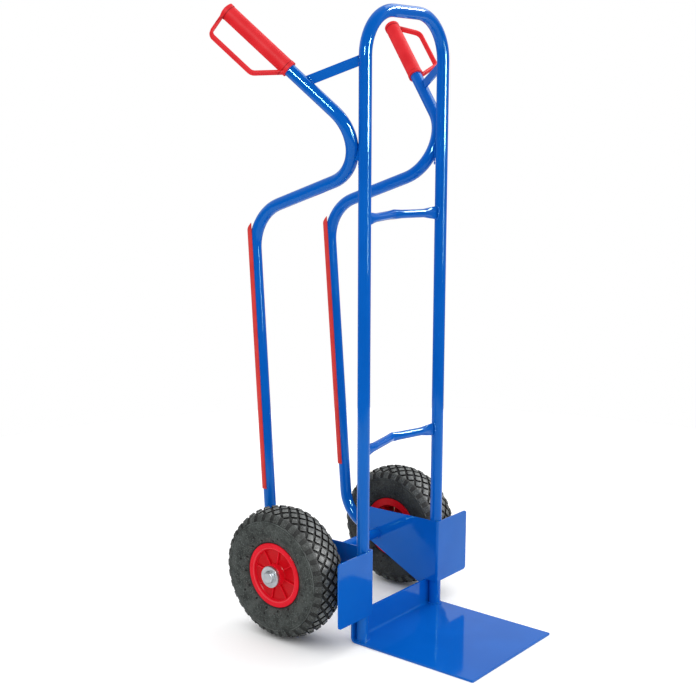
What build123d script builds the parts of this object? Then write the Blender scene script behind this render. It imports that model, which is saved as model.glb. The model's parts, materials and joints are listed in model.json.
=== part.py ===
"""Sack truck: welded tube frame with skid handles, toe plate and two pneumatic wheels.

Millimetres. +Z is up, the floor is Z = 0, and the toe plate points to -Y. The origin is on the
underside of the toe plate, midway between the uprights and under their axes. Left and right are
those of the person who pushes it: left is +X.
"""

import os
from math import asin, copysign, cos, radians, sin, sqrt, tan

from build123d import *

# Tube stock and welding
TUBE_DIAMETER = 24.0
TUBE_WALL = 2.0
WELD_GAP = 0.2

# Main frame: one tube bent to an upside-down U
UPRIGHT_SPACING = 243.0
FRAME_HEIGHT = 1206.0
TOP_BEND_RADIUS = 84.0

# Toe plate with its upturned flange
TOE_WIDTH = 275.0
TOE_REACH = 265.5
TOE_THICKNESS = 4.5
TOE_FLANGE_HEIGHT = 57.0
TOE_BEND_RADIUS = 5.0
TOE_EDGE_RADIUS = 0.8

# Cross rungs: thin tube folded once to the rear, ends pinched flat
RUNG_DIAMETER = 16.5
RUNG_BEND_DEPTH = 24.4
RUNG_BEND_RISE = 1.8
RUNG_FOLD_HEIGHT = 19.0
RUNG_FOLD_THICKNESS = 13.0
RUNG_FOLD_LENGTH = 20.0
UPPER_RUNG_HEIGHT = 818.5
LOWER_RUNG_HEIGHT = 380.0
RUNG_END_HEIGHT = 25.0
RUNG_END_THICKNESS = 5.0
RUNG_FLAT_LENGTH = 5.0
RUNG_TAPER_LENGTH = 30.0

# Wheels on the axle
WHEEL_DIAMETER = 260.0
TYRE_WIDTH = 84.0
TYRE_SIDE_GAP = 12.0
TYRE_FRONT_GAP = 12.6
AXLE_DIAMETER = 20.0
FIT_GAP = 0.3
RUNNING_GAP = 0.05

# Tyre and inner tube
TYRE_SHOULDER_WIDTH = 63.4
TYRE_SHOULDER_DROP = 9.4
TREAD_THICKNESS = 11.0
SIDEWALL_THICKNESS = 5.5
BEAD_WIDTH = 8.5
INNER_TUBE_WALL = 2.0
VALVE_OFFSET = 14.0
VALVE_DIAMETER = 8.0
VALVE_LENGTH = 26.0
VALVE_CAP_DIAMETER = 10.0
VALVE_CAP_LENGTH = 9.0

# Tread: rows of diamond blocks, the outer rows halved against the shoulder
BLOCKS_ROUND = 34
BLOCK_SIDE_ROWS = 3
BLOCK_ROOT = 1.0
GROOVE_WIDTH = 3.8
GROOVE_DEPTH = 4.0
SHOULDER_RING_WIDTH = 3.5
SHOULDER_RING_DROP = 0.3
SHOULDER_LAND = 0.8

# Ribbed rim with its hub
RIM_DIAMETER = 128.0
RIM_WIDTH = 65.2
RIM_LIP_THICKNESS = 2.2
RIM_WALL = 4.0
RIM_EDGE_RADIUS = 1.0
BEAD_SEAT_DIAMETER = 103.0
BEAD_SEAT_INSET = 10.0
WELL_INSET = 12.4
WELL_DEPTH = 4.5
WEB_DISC_THICKNESS = 16.0
WEB_DISC_OFFSET = 12.0
HUB_LENGTH = 75.0
HUB_DIAMETER = 44.0
RIB_COUNT = 8
RIB_THICKNESS = 3.0
RIB_SETBACK = 5.0
RIB_ROOT = 1.0

# Caged rollers, washers, collar and cap on the axle
ROLLER_DIAMETER = 5.0
ROLLER_COUNT = 8
ROLLER_LENGTH = 52.0
CAGE_LENGTH = 64.0
CAGE_THICKNESS = 3.0
WASHER_DIAMETER = 40.0
WASHER_THICKNESS = 1.6
END_GAP = 0.2
COLLAR_DIAMETER = 30.0
COLLAR_LENGTH = 8.0
CAP_DIAMETER = 42.6
CAP_THICKNESS = 5.3
CAP_EDGE_RADIUS = 1.2
CAP_DISH = 1.2
CAP_DOME_DIAMETER = 24.0
CAP_DOME_HEIGHT = 5.5
CAP_DOME_DRAFT = 1.0
CAP_DOME_RADIUS = 3.0
CAP_SOCKET_DEPTH = 8.5

# Folded side plates: a wing in front of the wheel and a cheek back to the axle
PLATE_THICKNESS = 2.5
PLATE_FOLD_RADIUS = 2.5
WING_REACH = 91.5
WING_CORNER_RADIUS = 7.0
CHEEK_ABOVE_AXLE = 56.5
CHEEK_FALL = 3.0
CHEEK_BEHIND_AXLE = 29.0
CHEEK_BELOW_AXLE = 13.8
CHEEK_TOE_HEIGHT = 40.0
CHEEK_CORNER_RADIUS = 10.0

# Handle tubes, from the grip down to the skid leg and the axle
HANDLE_INSET = 9.0
HANDLE_GAP = 1.0
HANDLE_BEND_HEIGHT = 926.5
HANDLE_SPLAY = 27.4
HANDLE_RISE = 41.9
HANDLE_LENGTH = 396.5
HANDLE_BEND_RADIUS = 83.0
RUN_FALL = 19.1
RUN_LENGTH = 343.5
SKID_TOP_INSET = 6.0
SKID_TOP_RADIUS = 90.0
SKID_FOOT_SETBACK = 92.0
SKID_FOOT_RISE = 5.0
SKID_FOOT_RADIUS = 77.0

# Web between handle bend and upright, and brace under the grip
WEB_HEIGHT = 30.0
WEB_THICKNESS = 7.0
BRACE_WIDTH = 18.0
BRACE_THICKNESS = 4.0
BRACE_HEIGHT = 1106.0
BRACE_DISTANCE = 205.0

# Grips: each is pushed on by hand, so its guard stands at its own angle below level
GRIP_LENGTH = 158.0
GRIP_DIAMETER = 29.5
GRIP_COLLAR_DIAMETER = 31.0
GRIP_COLLAR_LENGTH = 7.5
GRIP_DOME = 4.0
GRIP_EDGE_RADIUS = 0.6
GRIP_END_WALL = 3.0
SLIP_GAP = 0.1
GUARD_REACH = 61.5
GUARD_START = 39.5
GUARD_END = 142.0
GUARD_WIDTH = 11.5
GUARD_THICKNESS = 6.0
GUARD_EDGE_RADIUS = 2.5
GUARD_CORNER_RADIUS = 13.0
LEFT_GUARD_DROP = 3.0
RIGHT_GUARD_DROP = 47.0

# Plastic strips clipped on the skid legs
STRIP_WALL = 2.0
STRIP_LIP = 6.9
STRIP_TURN = 5.0
STRIP_BOTTOM = 264.5
STRIP_TOP = 783.5
STRIP_CHAMFER = 3.5

# Places worked out from the sizes
tube_radius = TUBE_DIAMETER / 2
seat_radius = tube_radius + WELD_GAP
upright_x = UPRIGHT_SPACING / 2
axle_radius = AXLE_DIAMETER / 2
axle_bore = axle_radius + RUNNING_GAP
hub_bore = axle_bore + ROLLER_DIAMETER + RUNNING_GAP
wheel_radius = WHEEL_DIAMETER / 2
axle_y = wheel_radius + TYRE_FRONT_GAP
axle_z = wheel_radius
wheel_x = upright_x + tube_radius + TYRE_SIDE_GAP + TYRE_WIDTH / 2
washer_start = HUB_LENGTH / 2 + END_GAP
cap_start = washer_start + WASHER_THICKNESS + END_GAP
axle_half_length = wheel_x + cap_start + CAP_SOCKET_DEPTH

rim_half = RIM_WIDTH / 2
rim_radius = RIM_DIAMETER / 2
lip_inside = rim_half - RIM_LIP_THICKNESS
seat_edge = rim_half - BEAD_SEAT_INSET
well_edge = rim_half - WELL_INSET
bead_seat = BEAD_SEAT_DIAMETER / 2
well_radius = bead_seat - WELL_DEPTH
hub_radius = HUB_DIAMETER / 2

cheek_x = upright_x - seat_radius
grip_axis = Vector(
    cos(radians(HANDLE_RISE)) * sin(radians(HANDLE_SPLAY)),
    cos(radians(HANDLE_RISE)) * cos(radians(HANDLE_SPLAY)),
    sin(radians(HANDLE_RISE)),
)
run = Vector(
    HANDLE_INSET - SKID_TOP_INSET,
    RUN_LENGTH * cos(radians(RUN_FALL)),
    -RUN_LENGTH * sin(radians(RUN_FALL)),
)

# The corner of the handle bend lies where the bend's arc just clears the back of the upright
bend_half_angle = radians(grip_axis.get_angle(run) / 2)
bend_depth = HANDLE_BEND_RADIUS * (1 / sin(bend_half_angle) - 1)
bend_bisector = (grip_axis + run.normalized()).normalized()
handle_corner = Vector(
    upright_x - HANDLE_INSET,
    TUBE_DIAMETER + HANDLE_GAP - bend_bisector.Y * bend_depth,
    HANDLE_BEND_HEIGHT,
)
handle_end = handle_corner + grip_axis * HANDLE_LENGTH
grip_start = handle_end - grip_axis * GRIP_LENGTH
skid_top = handle_corner + run
axle_weld = Vector(upright_x, axle_y, axle_z)
skid_foot = axle_weld + Vector(0, 1, tan(radians(SKID_FOOT_RISE))) * SKID_FOOT_SETBACK
skid_axis = (skid_top - skid_foot).normalized()

HANDLE_PATH = [handle_end - grip_axis * GRIP_END_WALL, handle_corner, skid_top, skid_foot, axle_weld]
HANDLE_RADII = [HANDLE_BEND_RADIUS, SKID_TOP_RADIUS, SKID_FOOT_RADIUS]


def bent_tube(points, radii, diameter, wall=0.0):
    """Tube along straight runs with an arc at each corner; without a wall it is a solid bar."""
    path = FilletPolyline(*points, radius=radii)
    section = Circle(diameter / 2)
    if wall:
        section -= Circle(diameter / 2 - wall)
    return sweep(Plane(origin=path @ 0, z_dir=path % 0) * section, path=path)


def outline_face(points, radii):
    """Flat face with rounded corners, one radius for each corner."""
    return make_face(FilletPolyline(*points, radius=radii, close=True))


def axle_ring(radius, bore, start, length):
    """Ring on the left half of the axle, placed by its distance from the wheel's middle."""
    middle = wheel_x + start + length / 2
    solid = Cylinder(radius, length) - Cylinder(bore, length)
    return Pos(middle, axle_y, axle_z) * Rot(0, 90, 0) * solid


def on_wheel(solid):
    """Put a solid that was made about the X axis where the left wheel is."""
    return Pos(wheel_x, axle_y, axle_z) * solid


def upright_core():
    """Left upright as a solid bar with the weld gap round it, to cope what meets it."""
    return Pos(upright_x, 0, FRAME_HEIGHT / 2) * Cylinder(seat_radius, FRAME_HEIGHT)


def handle_core():
    """Left handle tube as a solid bar with the weld gap round it, to cope what meets it."""
    return bent_tube(HANDLE_PATH, HANDLE_RADII, 2 * seat_radius)


def bent_plate(grow=0.0):
    """Plate bent up at the rear; grow thickens it towards the uprights, to cope their feet."""
    front = seat_radius - grow
    back = seat_radius + TOE_THICKNESS
    top = TOE_THICKNESS + grow
    points = [
        (-TOE_REACH, 0),
        (back, 0),
        (back, TOE_FLANGE_HEIGHT),
        (front, TOE_FLANGE_HEIGHT),
        (front, top),
        (-TOE_REACH, top),
    ]
    radii = [0, TOE_BEND_RADIUS + TOE_THICKNESS, 0, 0, TOE_BEND_RADIUS, 0]
    return extrude(Plane.YZ * outline_face(points, radii), TOE_WIDTH / 2, both=True)


def toe_plate():
    """The bent plate with its cut edges eased."""
    plate = bent_plate()
    along = plate.edges().filter_by(Axis.X)
    cut_edges = plate.faces().filter_by(Axis.X).edges()
    cut_edges += along.group_by(Axis.Y)[0] + along.group_by(Axis.Z)[-1]
    return fillet(cut_edges, TOE_EDGE_RADIUS)


def main_frame_tube():
    """Upside-down U whose feet stand on the toe plate and clear its bend."""
    top = FRAME_HEIGHT - tube_radius
    foot = TOE_THICKNESS + WELD_GAP
    points = [(-upright_x, 0, foot), (-upright_x, 0, top), (upright_x, 0, top), (upright_x, 0, foot)]
    bent = bent_tube(points, [TOP_BEND_RADIUS, TOP_BEND_RADIUS], TUBE_DIAMETER, TUBE_WALL)
    return bent - bent_plate(WELD_GAP)


def rung(height):
    """Cross tube folded to the rear in a press, its pinched ends coped to the uprights."""
    fold = Vector(0, RUNG_BEND_DEPTH, height + RUNG_BEND_RISE)
    reach = Vector(upright_x, 0, height) - fold
    along = reach.normalized()
    upright = along.cross(Vector(0, 0, 1)).cross(along)

    def section(distance, shape):
        return Plane(origin=fold + along * distance, x_dir=upright, z_dir=along) * shape

    flat_start = reach.length - seat_radius - RUNG_FLAT_LENGTH
    taper_start = flat_start - RUNG_TAPER_LENGTH
    tube = Circle(RUNG_DIAMETER / 2)
    fold_plane = Plane(origin=fold, x_dir=(0, 0, 1), z_dir=(1, 0, 0))
    creased = fold_plane * Ellipse(RUNG_FOLD_HEIGHT / 2, RUNG_FOLD_THICKNESS / 2)
    flat = section(flat_start, SlotOverall(RUNG_END_HEIGHT, RUNG_END_THICKNESS))
    half = loft([creased, section(RUNG_FOLD_LENGTH, tube)])
    half += extrude(section(RUNG_FOLD_LENGTH, tube), taper_start - RUNG_FOLD_LENGTH, dir=along)
    half += loft([section(taper_start, tube), flat])
    half += extrude(flat, reach.length - flat_start, dir=along)
    half -= upright_core()
    return half + mirror(half, about=Plane.YZ)


def side_plate():
    """Folded plate: wing in front of the wheel, fold round the upright, cheek back to the axle."""
    inner_x = cheek_x - PLATE_THICKNESS
    outer_x = upright_x + WING_REACH
    wing_back = -seat_radius
    wing_front = wing_back - PLATE_THICKNESS
    rear = axle_y + CHEEK_BEHIND_AXLE
    flange_back = seat_radius + TOE_THICKNESS + WELD_GAP
    top = axle_z + CHEEK_ABOVE_AXLE
    plan = [
        (outer_x, wing_front),
        (inner_x, wing_front),
        (inner_x, rear),
        (cheek_x, rear),
        (cheek_x, wing_back),
        (outer_x, wing_back),
    ]
    folds = [0, PLATE_FOLD_RADIUS + PLATE_THICKNESS, 0, 0, PLATE_FOLD_RADIUS, 0]
    folded = extrude(outline_face(plan, folds), top)
    outline = [
        (wing_front, TOE_FLANGE_HEIGHT),
        (flange_back, TOE_FLANGE_HEIGHT),
        (flange_back, CHEEK_TOE_HEIGHT),
        (rear, axle_z - CHEEK_BELOW_AXLE),
        (rear, top - CHEEK_FALL),
        (tube_radius, top),
        (wing_front, top),
    ]
    corners = [0, 0, 0, CHEEK_CORNER_RADIUS, CHEEK_CORNER_RADIUS, 0, 0]
    trimmed = folded & extrude(Plane.YZ * outline_face(outline, corners), outer_x)
    wing_corners = trimmed.edges().filter_by(Axis.Y).sort_by(Axis.X)[-2:]
    plate = fillet(wing_corners, WING_CORNER_RADIUS)
    axle_hole = Rot(0, 90, 0) * Cylinder(axle_radius + WELD_GAP, TUBE_DIAMETER)
    return plate - Pos(cheek_x, axle_y, axle_z) * axle_hole


def handle_tube():
    """Handle, sloping run, skid leg and foot in one tube, its end coped to the axle."""
    bent = bent_tube(HANDLE_PATH, HANDLE_RADII, TUBE_DIAMETER, TUBE_WALL)
    cope = Rot(0, 90, 0) * Cylinder(axle_radius + WELD_GAP, 2 * TUBE_DIAMETER)
    return bent - Pos(axle_weld) * cope


def handle_web():
    """Small block that joins the handle bend to the back of the upright."""
    middle = handle_corner + bend_bisector * bend_depth
    start = Vector(upright_x, 0, middle.Z)
    reach = middle - start
    seat = Plane(origin=start + reach / 2, x_dir=reach, z_dir=(0, 0, 1))
    block = seat * Box(reach.length, WEB_THICKNESS, WEB_HEIGHT)
    return block - upright_core() - handle_core()


def handle_brace():
    """Flat bar on edge from the upright to the handle tube."""
    start = Vector(upright_x, 0, BRACE_HEIGHT)
    reach = handle_corner + grip_axis * BRACE_DISTANCE - start
    seat = Plane(origin=start + reach / 2, x_dir=reach, z_dir=reach.cross(Vector(0, 0, 1)))
    bar = seat * Box(reach.length, BRACE_WIDTH, BRACE_THICKNESS)
    return bar - upright_core() - handle_core()


def grip(guard_drop):
    """Sleeve with collars and a domed end, in one piece with its guard; made along local Z."""
    radius = GRIP_DIAMETER / 2
    collar = GRIP_COLLAR_DIAMETER / 2
    outer_collar = GRIP_LENGTH - GRIP_COLLAR_LENGTH
    sphere = (collar**2 + GRIP_DOME**2) / (2 * GRIP_DOME)
    dome_top = GRIP_LENGTH + GRIP_DOME
    dome_middle = dome_top - sphere + sqrt(sphere**2 - radius**2 / 4)
    side = Polyline(
        (0, dome_top),
        (0, 0),
        (collar, 0),
        (collar, GRIP_COLLAR_LENGTH),
        (radius, GRIP_COLLAR_LENGTH),
        (radius, outer_collar),
        (collar, outer_collar),
        (collar, GRIP_LENGTH),
    )
    dome = ThreePointArc((collar, GRIP_LENGTH), (radius / 2, dome_middle), (0, dome_top))
    section = make_face([side, dome])
    edges = section.vertices().group_by(Axis.X)[-1]
    sleeve = revolve(Plane.XZ * fillet(edges, GRIP_EDGE_RADIUS), Axis.Z)
    inset = GUARD_THICKNESS / 2
    path = FilletPolyline(
        (radius - inset, 0, inset),
        (GUARD_REACH, 0, GUARD_START),
        (GUARD_REACH, 0, GUARD_END),
        (radius - inset, 0, GRIP_LENGTH - inset),
        radius=GUARD_CORNER_RADIUS,
    )
    bar = RectangleRounded(GUARD_WIDTH, GUARD_THICKNESS, GUARD_EDGE_RADIUS)
    guard = sweep(Plane(origin=path @ 0, x_dir=(0, 1, 0), z_dir=path % 0) * bar, path=path)
    socket_depth = GRIP_LENGTH - GRIP_END_WALL
    socket = Pos(0, 0, socket_depth / 2) * Cylinder(tube_radius + SLIP_GAP, socket_depth)
    outboard = grip_axis.cross(Vector(0, 0, 1))
    seat = Plane(origin=grip_start, x_dir=outboard, z_dir=grip_axis)
    return seat * Rot(0, 0, guard_drop) * (sleeve + guard - socket)


def skid_strip():
    """C-shaped strip over the back of the skid leg, mitred at the top; local Y is the rear."""
    radius = tube_radius + SLIP_GAP + STRIP_WALL
    opening = Pos(0, (radius - STRIP_LIP) / 2) * Rectangle(2 * radius, radius + STRIP_LIP)
    length = (STRIP_TOP - STRIP_BOTTOM) / skid_axis.Z
    strip = extrude(Circle(radius) & opening, length + radius + STRIP_LIP)
    mitre = Plane(origin=(0, radius, length), z_dir=(0, 1, 1))
    strip = split(strip, bisect_by=mitre, keep=Keep.BOTTOM)
    bevel = Plane(origin=(0, radius - STRIP_CHAMFER, 0), z_dir=(0, 1, -1))
    strip = split(strip, bisect_by=bevel, keep=Keep.BOTTOM)
    start = skid_foot + skid_axis * ((STRIP_BOTTOM - skid_foot.Z) / skid_axis.Z)
    seat = Plane(origin=start, x_dir=(1, 0, 0), z_dir=skid_axis)
    turned = seat * Rot(0, 0, STRIP_TURN) * strip
    return turned - bent_tube(HANDLE_PATH, HANDLE_RADII, TUBE_DIAMETER + 2 * SLIP_GAP)


def flip(point):
    """Mirror a point of a wheel section to the other side of the wheel's middle."""
    return (-point[0], point[1])


# Heights and corners of the tyre's section, as distance from the middle and radius
bead_face = lip_inside - FIT_GAP
belly_radius = (wheel_radius + rim_radius) / 2 - SIDEWALL_THICKNESS
shoulder = (TYRE_SHOULDER_WIDTH / 2, wheel_radius - TYRE_SHOULDER_DROP)
crown_radius = (shoulder[0] ** 2 + TYRE_SHOULDER_DROP**2) / (2 * TYRE_SHOULDER_DROP)
crown_arc = crown_radius * asin(shoulder[0] / crown_radius)
row_step = (crown_arc - SHOULDER_LAND) / BLOCK_SIDE_ROWS
block_pitch = 360 / BLOCKS_ROUND


def tyre_inside(inset):
    """Arcs of the tyre's inner wall from bead to bead, moved into the air space by inset."""
    bead = (bead_face - SIDEWALL_THICKNESS - inset, rim_radius + FIT_GAP)
    belly = (TYRE_WIDTH / 2 - SIDEWALL_THICKNESS - inset, belly_radius)
    crown = (0, wheel_radius - TREAD_THICKNESS - inset)
    corner = (shoulder[0] - SIDEWALL_THICKNESS - inset, shoulder[1] - TREAD_THICKNESS - inset)
    arcs = [
        ThreePointArc(bead, belly, corner),
        ThreePointArc(corner, crown, flip(corner)),
        ThreePointArc(flip(corner), flip(belly), flip(bead)),
    ]
    return bead, arcs


def crown_point(distance, depth):
    """Point of the tyre's section, by its distance along the crown and its depth below it."""
    angle = distance / crown_radius
    reach = crown_radius - depth
    return (reach * sin(angle), wheel_radius - crown_radius + reach * cos(angle))


def casing_section():
    """Groove floor, shoulder rings, sidewalls and beads, open towards the rim."""
    inner_bead, inner_arcs = tyre_inside(0)
    ring_edge = crown_arc - SHOULDER_RING_WIDTH
    ring_top = crown_point(ring_edge, SHOULDER_RING_DROP)
    floor_edge = crown_point(ring_edge, GROOVE_DEPTH)
    lip = (bead_face, rim_radius)
    belly = (TYRE_WIDTH / 2, belly_radius)
    foot = (bead_face, bead_seat + FIT_GAP)
    toe = (bead_face - BEAD_WIDTH, bead_seat + FIT_GAP)
    outline = [
        ThreePointArc(flip(floor_edge), crown_point(0, GROOVE_DEPTH), floor_edge),
        Polyline(floor_edge, ring_top, shoulder),
        ThreePointArc(shoulder, belly, lip),
        Polyline(lip, foot, toe, inner_bead),
        *inner_arcs,
        Polyline(flip(inner_bead), flip(toe), flip(foot), flip(lip)),
        ThreePointArc(flip(lip), flip(belly), flip(shoulder)),
        Polyline(flip(shoulder), flip(ring_top), flip(floor_edge)),
    ]
    return make_face(outline)


def tread_block(row, half):
    """Diamond block of one row, its flat top on the crown on top of the wheel.

    The outer rows keep only their inner part. A half of -1 or 1 keeps that end along the tread.
    """
    pitch_half = radians(block_pitch) * wheel_radius / 2
    lattice_side = sqrt(pitch_half**2 + row_step**2)
    share = 1 - GROOVE_WIDTH / 2 * lattice_side / (pitch_half * row_step)
    across = row_step * share
    along = pitch_half * share
    corners = [(-across, 0), (0, along), (across, 0), (0, -along)]
    if half:
        corners.remove((0, -half * along))
    if abs(row) == BLOCK_SIDE_ROWS:
        corners.remove((copysign(across, row), 0))
    if len(corners) == 2:
        corners.append((0, 0))
    lean = row * row_step / crown_radius
    middle, height = crown_point(row * row_step, 0)
    upward = Vector(sin(lean), 0, cos(lean))
    seat = Plane(origin=(middle, 0, height), x_dir=(cos(lean), 0, -sin(lean)), z_dir=upward)
    return extrude(seat * make_face(Polyline(*corners, close=True)), GROOVE_DEPTH + BLOCK_ROOT, dir=-upward)


def tyre():
    """Casing with its tread: one pitch is made with its blocks and repeated round the wheel."""
    blocks = []
    for row in range(-BLOCK_SIDE_ROWS, BLOCK_SIDE_ROWS + 1):
        halves = [-1, 1] if row % 2 else [0]
        blocks += [Rot(-half * block_pitch / 2, 0, 0) * tread_block(row, half) for half in halves]
    wedge = Rot(90 - block_pitch / 2, 0, 0) * revolve(casing_section(), Axis.X, block_pitch)
    wedge = wedge.fuse(*blocks)
    wedges = [Rot(block_pitch * index, 0, 0) * wedge for index in range(BLOCKS_ROUND)]
    return on_wheel(wedges[0].fuse(*wedges[1:]))


def tube_body(inset):
    """Ring that fills the tyre's air space less inset, down to between the beads."""
    bead, arcs = tyre_inside(inset)
    toe = (bead_face - BEAD_WIDTH - inset, bead_seat + FIT_GAP + inset)
    base = Polyline(flip(bead), flip(toe), toe, bead)
    return revolve(make_face([*arcs, base]), Axis.X)


def valve_bar(radius, start, length):
    """Bar along the valve's axis, from a radius of the wheel towards the hub."""
    return Pos(-VALVE_OFFSET, 0, start - length / 2) * Cylinder(radius, length)


def inner_tube():
    """Thin-walled ring inside the tyre, with the hole that the valve's foot fills."""
    air = tube_body(FIT_GAP + INNER_TUBE_WALL)
    hole = valve_bar(VALVE_DIAMETER / 2 + RUNNING_GAP, bead_seat + VALVE_LENGTH, 2 * VALVE_LENGTH)
    return on_wheel(tube_body(FIT_GAP) - air - hole)


valve_foot = bead_seat + 2 * FIT_GAP + INNER_TUBE_WALL
valve_tip = valve_foot - VALVE_LENGTH


def valve_stem():
    """Stem from the inner tube through the rim's well, on the inboard side."""
    return on_wheel(valve_bar(VALVE_DIAMETER / 2, valve_foot, VALVE_LENGTH))


def valve_cap():
    """Screw cap over the end of the stem, closed towards the hub."""
    start = valve_tip + VALVE_CAP_LENGTH / 2
    cap = valve_bar(VALVE_CAP_DIAMETER / 2, start, VALVE_CAP_LENGTH)
    return on_wheel(cap - valve_bar(VALVE_DIAMETER / 2 + RUNNING_GAP, start, VALVE_CAP_LENGTH / 2))


def rim_half_outline(web_face):
    """Section corners and their radii from the well round the lip to the hub's bore."""
    wall_inside = bead_seat - RIM_WALL
    return [
        ((well_edge, well_radius), 0),
        ((seat_edge, bead_seat), 0),
        ((lip_inside, bead_seat), 0),
        ((lip_inside, rim_radius), 0),
        ((rim_half, rim_radius), RIM_EDGE_RADIUS),
        ((rim_half, bead_seat - RIM_LIP_THICKNESS), RIM_EDGE_RADIUS),
        ((lip_inside, wall_inside), 0),
        ((seat_edge, wall_inside), 0),
        ((well_edge, well_radius - RIM_WALL), 0),
        ((web_face, well_radius - RIM_WALL), 0),
        ((web_face, hub_radius), 0),
        ((HUB_LENGTH / 2, hub_radius), RIM_EDGE_RADIUS),
        ((HUB_LENGTH / 2, hub_bore), 0),
    ]


def rim():
    """Plastic wheel centre: lips, bead seats, dropped well, web disc, hub and ribs."""
    outer_half = rim_half_outline(WEB_DISC_OFFSET + WEB_DISC_THICKNESS / 2)
    inner_half = rim_half_outline(WEB_DISC_THICKNESS / 2 - WEB_DISC_OFFSET)
    outline = outer_half + [(flip(point), radius) for point, radius in reversed(inner_half)]
    section = outline_face([point for point, _ in outline], [radius for _, radius in outline])
    body = revolve(section, Axis.X)
    rib_edge = rim_half - RIB_SETBACK
    rib_top = bead_seat - RIM_WALL + RIB_ROOT
    half_rib = [
        (rib_edge, hub_radius - RIB_ROOT),
        (rib_edge, rib_top),
        (seat_edge, rib_top),
        (well_edge, well_radius - RIM_WALL + RIB_ROOT),
    ]
    other_rib = [flip(point) for point in reversed(half_rib)]
    rib_face = Plane.XZ * make_face(Polyline(*half_rib, *other_rib, close=True))
    rib = extrude(rib_face, RIB_THICKNESS / 2, both=True)
    pitch = 360 / RIB_COUNT
    ribs = [Rot(pitch * (index + 0.5), 0, 0) * rib for index in range(RIB_COUNT)]
    valve_hole = valve_bar(VALVE_DIAMETER / 2 + FIT_GAP, bead_seat, 2 * (RIM_WALL + WELL_DEPTH))
    return on_wheel(body + ribs - valve_hole)


def roller_bearing():
    """Rollers held in a cage, pushed into the hub as one unit."""
    pitch_radius = axle_bore + ROLLER_DIAMETER / 2
    cage = Cylinder(pitch_radius + CAGE_THICKNESS / 2, CAGE_LENGTH)
    cage -= Cylinder(pitch_radius - CAGE_THICKNESS / 2, CAGE_LENGTH)
    roller = Cylinder(ROLLER_DIAMETER / 2, ROLLER_LENGTH)
    unit = cage + PolarLocations(pitch_radius, ROLLER_COUNT) * roller
    return on_wheel(Rot(0, 90, 0) * unit)


def axle():
    return Pos(0, axle_y, axle_z) * Rot(0, 90, 0) * Cylinder(axle_radius, 2 * axle_half_length)


def axle_cap():
    """Plated push-on cap: a dished flange with a dome over the end of the axle."""
    radius = CAP_DIAMETER / 2
    dome = CAP_DOME_DIAMETER / 2
    face = cap_start + CAP_THICKNESS
    socket = cap_start + CAP_SOCKET_DEPTH
    points = [
        (cap_start, axle_bore),
        (cap_start, radius),
        (face, radius),
        (face - CAP_DISH, dome),
        (face + CAP_DOME_HEIGHT, dome - CAP_DOME_DRAFT),
        (face + CAP_DOME_HEIGHT, 0),
        (socket, 0),
        (socket, axle_bore),
    ]
    radii = [0, 0, CAP_EDGE_RADIUS, CAP_EDGE_RADIUS, CAP_DOME_RADIUS, 0, 0, 0]
    return on_wheel(revolve(outline_face(points, radii), Axis.X))


def washer(start):
    return axle_ring(WASHER_DIAMETER / 2, axle_bore, start, WASHER_THICKNESS)


def left_side():
    """Pieces of the left side, by name."""
    inner_washer_start = -washer_start - WASHER_THICKNESS
    collar_start = inner_washer_start - END_GAP - COLLAR_LENGTH
    return {
        "side_plate": side_plate(),
        "handle_tube": handle_tube(),
        "handle_web": handle_web(),
        "handle_brace": handle_brace(),
        "skid_strip": skid_strip(),
        "tyre": tyre(),
        "inner_tube": inner_tube(),
        "valve_stem": valve_stem(),
        "valve_cap": valve_cap(),
        "rim": rim(),
        "roller_bearing": roller_bearing(),
        "axle_collar": axle_ring(COLLAR_DIAMETER / 2, axle_bore, collar_start, COLLAR_LENGTH),
        "inner_washer": washer(inner_washer_start),
        "outer_washer": washer(washer_start),
        "axle_cap": axle_cap(),
    }


def all_parts():
    """Every piece by its node name; the right side mirrors the left except for its guard."""
    parts = {
        "main_frame_tube": main_frame_tube(),
        "toe_plate": toe_plate(),
        "upper_rung": rung(UPPER_RUNG_HEIGHT),
        "lower_rung": rung(LOWER_RUNG_HEIGHT),
        "axle": axle(),
        "left_grip": grip(LEFT_GUARD_DROP),
        "right_grip": mirror(grip(RIGHT_GUARD_DROP), about=Plane.YZ),
    }
    for name, solid in left_side().items():
        parts[f"left_{name}"] = solid
        parts[f"right_{name}"] = mirror(solid, about=Plane.YZ)
    return parts


os.makedirs("parts", exist_ok=True)
for node, solid in all_parts().items():
    export_step(solid, f"parts/{node}.step")
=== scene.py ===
# Looks of a blue steel sack truck with red grips and strips, and air tyres on red rims
import json
import math

import bpy
from mathutils import Euler, Matrix, Vector


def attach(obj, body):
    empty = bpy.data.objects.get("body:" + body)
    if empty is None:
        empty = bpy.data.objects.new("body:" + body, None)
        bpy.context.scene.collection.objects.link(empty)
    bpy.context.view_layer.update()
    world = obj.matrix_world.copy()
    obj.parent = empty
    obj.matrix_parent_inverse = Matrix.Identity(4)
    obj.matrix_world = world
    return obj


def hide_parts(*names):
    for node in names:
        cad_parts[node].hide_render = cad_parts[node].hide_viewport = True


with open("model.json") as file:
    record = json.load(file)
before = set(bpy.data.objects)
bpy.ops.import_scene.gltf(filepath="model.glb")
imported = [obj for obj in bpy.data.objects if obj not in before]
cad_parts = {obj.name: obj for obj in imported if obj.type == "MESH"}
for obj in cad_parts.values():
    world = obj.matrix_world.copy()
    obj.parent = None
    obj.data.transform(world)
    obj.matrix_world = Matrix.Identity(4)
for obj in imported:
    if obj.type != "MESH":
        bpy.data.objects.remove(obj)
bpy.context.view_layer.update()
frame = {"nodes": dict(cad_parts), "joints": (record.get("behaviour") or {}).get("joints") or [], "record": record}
SIDES = {"left": 1, "right": -1}

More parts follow.
